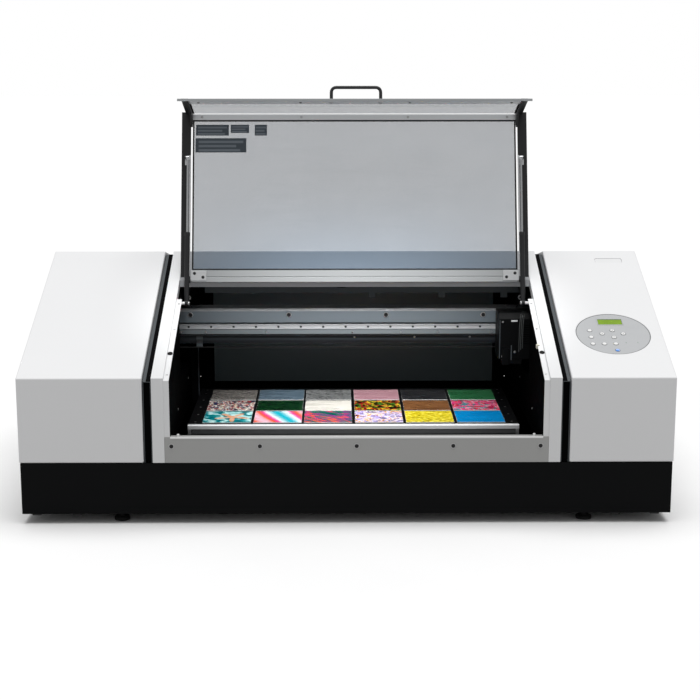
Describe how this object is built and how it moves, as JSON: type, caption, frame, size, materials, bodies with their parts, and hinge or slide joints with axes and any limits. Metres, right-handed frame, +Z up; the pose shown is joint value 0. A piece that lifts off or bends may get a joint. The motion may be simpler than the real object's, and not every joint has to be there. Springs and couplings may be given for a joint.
{
  "type": "flatbed uv printer",
  "caption": "Low wide flatbed UV printer with two side housings, a lift-up clear front cover, a gantry print carriage and a table that feeds and lifts.",
  "frame": {"origin": "on the floor plane under the middle of the machine's bounding box, cover standing open", "axes": "+X to the operator's right along the print width, +Y from the operator's side to the rear, +Z up"},
  "size_m": [1.56, 0.955, 1.0243],
  "materials": {
    "white_paint": "fine satin powder coat",
    "white_shell": "fine satin texture",
    "black_paint": "satin black powder coat",
    "dark_anodised": "matt black anodised",
    "slate_paint": "satin dark slate paint",
    "slate_anodised": "satin dark slate anodised extrusion",
    "grey_paint": "satin mid grey paint",
    "aluminium": "clear anodised",
    "steel": "ground",
    "rubber": "matt",
    "black_plastic": "matt moulded",
    "panel_grey": "smooth printed film",
    "key_white": "satin",
    "key_blue": "clear, lit from behind",
    "lcd_green": "clear window over a backlit display",
    "smoked_acrylic": "polished, lightly smoked, see-through"
  },
  "bodies": {
    "cabinet": {"left_side_panel": "white_paint", "right_side_panel": "white_paint", "rear_deck": "white_paint", "left_housing": "white_shell", "right_housing": "white_shell", "base_tray": "black_paint", "back_panel": "black_paint", "drive_motor": "black_paint", "left_side_frame": "slate_paint", "right_side_frame": "slate_paint", "bay_rear_wall": "slate_paint", "deck_stiffener": "slate_paint", "gantry_beam": "slate_anodised", "front_apron": "grey_paint", "idler_bracket": "grey_paint", "linear_rail": "steel", "table_rail_left": "steel", "table_rail_right": "steel", "foot_front_left": "rubber", "foot_front_right": "rubber", "foot_rear_left": "rubber", "foot_rear_right": "rubber", "drive_belt": "rubber", "capping_station": "black_plastic", "power_inlet": "black_plastic", "control_panel": "panel_grey", "lcd_window": "lcd_green"},
    "carriage": {"carriage_frame": "aluminium", "carriage_cover": "black_paint", "print_head_left": "steel", "print_head_right": "steel", "uv_lamp": "aluminium"},
    "saddle": {"table_saddle": "aluminium"},
    "table": {"table_plate": "dark_anodised", "table_front_bar": "aluminium"},
    "cover": {"cover_left_arm": "black_paint", "cover_right_arm": "black_paint", "cover_top_window": "smoked_acrylic", "cover_front_window": "smoked_acrylic", "cover_fold_trim": "aluminium", "cover_lip_trim": "aluminium", "cover_hinge_bar": "aluminium", "cover_handle": "black_paint"},
    "drive_pulley": {"drive_pulley": "steel"},
    "idler_pulley": {"idler_pulley": "steel"},
    "main_switch": {"main_switch": "black_plastic"},
    "gas_spring_left_cylinder": {"gas_spring_left_cylinder": "black_paint"},
    "gas_spring_left_rod": {"gas_spring_left_rod": "steel"},
    "gas_spring_right_cylinder": {"gas_spring_right_cylinder": "black_paint"},
    "gas_spring_right_rod": {"gas_spring_right_rod": "steel"},
    "button_menu": {"button_menu": "key_white"},
    "button_left": {"button_left": "key_white"},
    "button_up": {"button_up": "key_white"},
    "button_right": {"button_right": "key_white"},
    "button_function": {"button_function": "key_white"},
    "button_down": {"button_down": "key_white"},
    "button_base": {"button_base": "key_white"},
    "button_pause": {"button_pause": "key_white"},
    "button_enter": {"button_enter": "key_white"},
    "button_power": {"button_power": "key_blue"}
  },
  "joints": [
    {"name": "cover_hinge", "type": "hinge", "parent": "cabinet", "child": "cover", "pos_m": [0.0235, -0.0648, 0.5265], "axis": [1, 0, 0], "range_deg": [0, 129.3]},
    {"name": "carriage_slide", "type": "slide", "parent": "cabinet", "child": "carriage", "axis": [1, 0, 0], "range_m": [-0.95, 0]},
    {"name": "table_feed", "type": "slide", "parent": "cabinet", "child": "saddle", "axis": [0, 1, 0], "range_m": [-0.145, 0.185]},
    {"name": "table_lift", "type": "slide", "parent": "saddle", "child": "table", "axis": [0, 0, 1], "range_m": [0, 0.1]},
    {"name": "drive_pulley_spin", "type": "hinge", "parent": "cabinet", "child": "drive_pulley", "pos_m": [0.722, 0.0095, 0.352], "axis": [0, 1, 0], "range_deg": [-3410, 10]},
    {"name": "idler_pulley_spin", "type": "hinge", "parent": "cabinet", "child": "idler_pulley", "pos_m": [-0.668, 0.0095, 0.352], "axis": [0, 1, 0], "range_deg": [-3410, 10]},
    {"name": "main_switch_rock", "type": "hinge", "parent": "cabinet", "child": "main_switch", "pos_m": [0.66, 0.4715, 0.235], "axis": [1, 0, 0], "range_deg": [-16, 0]},
    {"name": "gas_spring_left_swing", "type": "hinge", "parent": "cabinet", "child": "gas_spring_left_cylinder", "pos_m": [-0.4118, -0.0975, 0.472], "axis": [1, 0, 0], "range_deg": [0, 124.87]},
    {"name": "gas_spring_left_stroke", "type": "slide", "parent": "gas_spring_left_cylinder", "child": "gas_spring_left_rod", "axis": [0, 0.2978, 0.9546], "range_m": [-0.11198, 0]},
    {"name": "gas_spring_right_swing", "type": "hinge", "parent": "cabinet", "child": "gas_spring_right_cylinder", "pos_m": [0.4588, -0.0975, 0.472], "axis": [1, 0, 0], "range_deg": [0, 124.87]},
    {"name": "gas_spring_right_stroke", "type": "slide", "parent": "gas_spring_right_cylinder", "child": "gas_spring_right_rod", "axis": [0, 0.2978, 0.9546], "range_m": [-0.11198, 0]},
    {"name": "button_menu_press", "type": "slide", "parent": "cabinet", "child": "button_menu", "axis": [0, 0.3708, -0.9287], "range_m": [0, 0.0008], "stiffness_N_per_m": 600},
    {"name": "button_left_press", "type": "slide", "parent": "cabinet", "child": "button_left", "axis": [0, 0.3708, -0.9287], "range_m": [0, 0.0008], "stiffness_N_per_m": 600},
    {"name": "button_up_press", "type": "slide", "parent": "cabinet", "child": "button_up", "axis": [0, 0.3708, -0.9287], "range_m": [0, 0.0008], "stiffness_N_per_m": 600},
    {"name": "button_right_press", "type": "slide", "parent": "cabinet", "child": "button_right", "axis": [0, 0.3708, -0.9287], "range_m": [0, 0.0008], "stiffness_N_per_m": 600},
    {"name": "button_function_press", "type": "slide", "parent": "cabinet", "child": "button_function", "axis": [0, 0.3708, -0.9287], "range_m": [0, 0.0008], "stiffness_N_per_m": 600},
    {"name": "button_down_press", "type": "slide", "parent": "cabinet", "child": "button_down", "axis": [0, 0.3708, -0.9287], "range_m": [0, 0.0008], "stiffness_N_per_m": 600},
    {"name": "button_base_press", "type": "slide", "parent": "cabinet", "child": "button_base", "axis": [0, 0.3708, -0.9287], "range_m": [0, 0.0008], "stiffness_N_per_m": 600},
    {"name": "button_pause_press", "type": "slide", "parent": "cabinet", "child": "button_pause", "axis": [0, 0.3708, -0.9287], "range_m": [0, 0.0008], "stiffness_N_per_m": 600},
    {"name": "button_enter_press", "type": "slide", "parent": "cabinet", "child": "button_enter", "axis": [0, 0.3708, -0.9287], "range_m": [0, 0.0008], "stiffness_N_per_m": 600},
    {"name": "button_power_press", "type": "slide", "parent": "cabinet", "child": "button_power", "axis": [0, 0.3708, -0.9287], "range_m": [0, 0.0008], "stiffness_N_per_m": 600}
  ],
  "couplings": [
    {"joint": "drive_pulley_spin", "follows": "carriage_slide", "rad_per_m": 62.5},
    {"joint": "idler_pulley_spin", "follows": "carriage_slide", "rad_per_m": 62.5},
    {"joint": "gas_spring_left_swing", "follows": "cover_hinge", "ratio": 0.9619},
    {"joint": "gas_spring_left_stroke", "follows": "cover_hinge", "m_per_rad": -0.0494},
    {"joint": "gas_spring_right_swing", "follows": "cover_hinge", "ratio": 0.9619},
    {"joint": "gas_spring_right_stroke", "follows": "cover_hinge", "m_per_rad": -0.0494}
  ]
}
